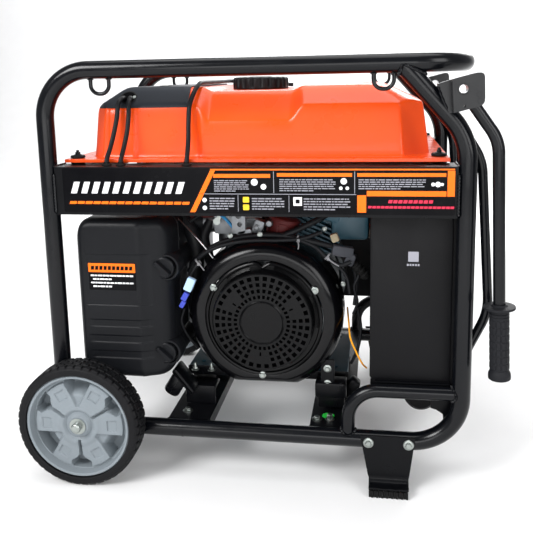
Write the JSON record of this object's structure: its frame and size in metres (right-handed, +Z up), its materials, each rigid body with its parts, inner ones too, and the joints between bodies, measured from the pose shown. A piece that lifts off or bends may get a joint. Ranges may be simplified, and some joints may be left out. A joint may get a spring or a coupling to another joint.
{
  "type": "portable generator",
  "caption": "Wheeled open-frame portable generator with a black tube frame, orange fuel tank, engine with fan cover, air filter box and folding handles.",
  "frame": {"origin": "on the ground, under the middle of the whole machine's outline", "axes": "+X along the frame towards the folding handles, -Y the side with the engine's fan cover, +Z up"},
  "size_m": [0.892, 0.704, 0.781],
  "materials": {
    "frame_black": "satin powder coat",
    "plate_black": "satin powder coat",
    "zinc": "zinc plated",
    "steel": "machined",
    "tyre_rubber": "matt",
    "hub_grey": "moulded",
    "grip_rubber": "matt",
    "mount_rubber": "matt",
    "tank_orange": "gloss paint",
    "cap_black": "fine grain",
    "tank_grey": "satin paint",
    "hose_rubber": "satin",
    "engine_teal": "satin paint",
    "engine_black": "moulded",
    "shroud_black": "satin",
    "cast_alloy": "as cast",
    "winding": "varnished copper",
    "filter_black": "fine grain",
    "filter_foam": "pleated paper",
    "muffler_steel": "heat tinted",
    "panel_black": "satin",
    "battery_grey": "moulded",
    "switch_red": "moulded",
    "lever_white": "moulded"
  },
  "bodies": {
    "frame_body": {"top_hoop": "frame_black", "front_side_loop": "frame_black", "rear_side_loop": "frame_black", "subframe_hoops": "frame_black", "tank_rails": "plate_black", "panel_beams": "plate_black", "engine_beams": "plate_black", "shelf": "plate_black", "lifting_loops": "frame_black", "handle_brackets": "frame_black", "pivot_bushes": "steel", "guard_bows": "frame_black", "axle": "steel", "axle_brackets": "plate_black", "axle_caps": "zinc", "foot_plates": "plate_black", "foot_pads": "mount_rubber", "frame_bolts": "zinc", "fuel_tank": "tank_orange", "tank_plate": "tank_grey", "tank_washers": "mount_rubber", "tank_hoses": "hose_rubber", "hose_grommets": "mount_rubber", "crankcase": "engine_teal", "engine_cylinder": "engine_teal", "rocker_cover": "engine_black", "fan_shroud": "shroud_black", "fan_grille": "engine_black", "stator": "winding", "alternator_housing": "cast_alloy", "starter_motor": "shroud_black", "carburettor": "cast_alloy", "engine_mounts": "mount_rubber", "air_filter_base": "filter_black", "air_filter_element": "filter_foam", "air_filter_cover": "filter_black", "muffler": "muffler_steel", "muffler_shield": "panel_black", "canister": "cap_black", "battery": "battery_grey", "inverter_module": "cast_alloy", "control_box": "panel_black", "outlets": "cap_black"},
    "wheel_front": {"tyre_front": "tyre_rubber", "hub_front": "hub_grey"},
    "wheel_rear": {"tyre_rear": "tyre_rubber", "hub_rear": "hub_grey"},
    "handle_f": {"handle_front": "frame_black", "grip_front": "grip_rubber"},
    "handle_r": {"handle_rear": "frame_black", "grip_rear": "grip_rubber"},
    "cap": {"filler_cap": "cap_black"},
    "crank_train": {"flywheel": "cast_alloy", "crankshaft": "steel", "rotor": "steel"},
    "choke": {"choke_lever": "zinc"},
    "knob_upper": {"filter_knob_upper": "filter_black"},
    "knob_lower": {"filter_knob_lower": "filter_black"},
    "switch": {"start_switch": "switch_red"},
    "breaker": {"breaker_lever": "lever_white"}
  },
  "joints": [
    {"name": "wheel_front_spin", "type": "hinge", "parent": "frame_body", "child": "wheel_front", "pos_m": [-0.33, -0.318, 0.1175], "axis": [0, 1, 0], "continuous": true},
    {"name": "wheel_rear_spin", "type": "hinge", "parent": "frame_body", "child": "wheel_rear", "pos_m": [-0.33, 0.318, 0.1175], "axis": [0, 1, 0], "continuous": true},
    {"name": "handle_front_fold", "type": "hinge", "parent": "frame_body", "child": "handle_f", "pos_m": [0.348, -0.298, 0.721], "axis": [0, -1, 0], "range_deg": [0, 82]},
    {"name": "handle_rear_fold", "type": "hinge", "parent": "frame_body", "child": "handle_r", "pos_m": [0.348, 0.298, 0.721], "axis": [0, -1, 0], "range_deg": [0, 82]},
    {"name": "filler_cap_turn", "type": "hinge", "parent": "frame_body", "child": "cap", "pos_m": [-0.028, 0, 0.735], "axis": [0, 0, 1], "range_deg": [0, 90]},
    {"name": "crankshaft_spin", "type": "hinge", "parent": "frame_body", "child": "crank_train", "pos_m": [0.002, 0, 0.293], "axis": [0, 1, 0], "continuous": true},
    {"name": "choke_lever_turn", "type": "hinge", "parent": "frame_body", "child": "choke", "pos_m": [-0.1, -0.12, 0.466], "axis": [0, 1, 0], "range_deg": [0, 35]},
    {"name": "filter_knob_upper_turn", "type": "hinge", "parent": "frame_body", "child": "knob_upper", "pos_m": [-0.181, -0.24, 0.398], "axis": [0, 1, 0], "range_deg": [-90, 0]},
    {"name": "filter_knob_lower_turn", "type": "hinge", "parent": "frame_body", "child": "knob_lower", "pos_m": [-0.184, -0.24, 0.23], "axis": [0, 1, 0], "range_deg": [-90, 0]},
    {"name": "start_switch_turn", "type": "hinge", "parent": "frame_body", "child": "switch", "pos_m": [-0.105, 0.26, 0.3], "axis": [0, -1, 0], "range_deg": [-45, 45]},
    {"name": "breaker_flip", "type": "hinge", "parent": "frame_body", "child": "breaker", "pos_m": [-0.105, 0.25, 0.39], "axis": [1, 0, 0], "range_deg": [-25, 25]}
  ]
}
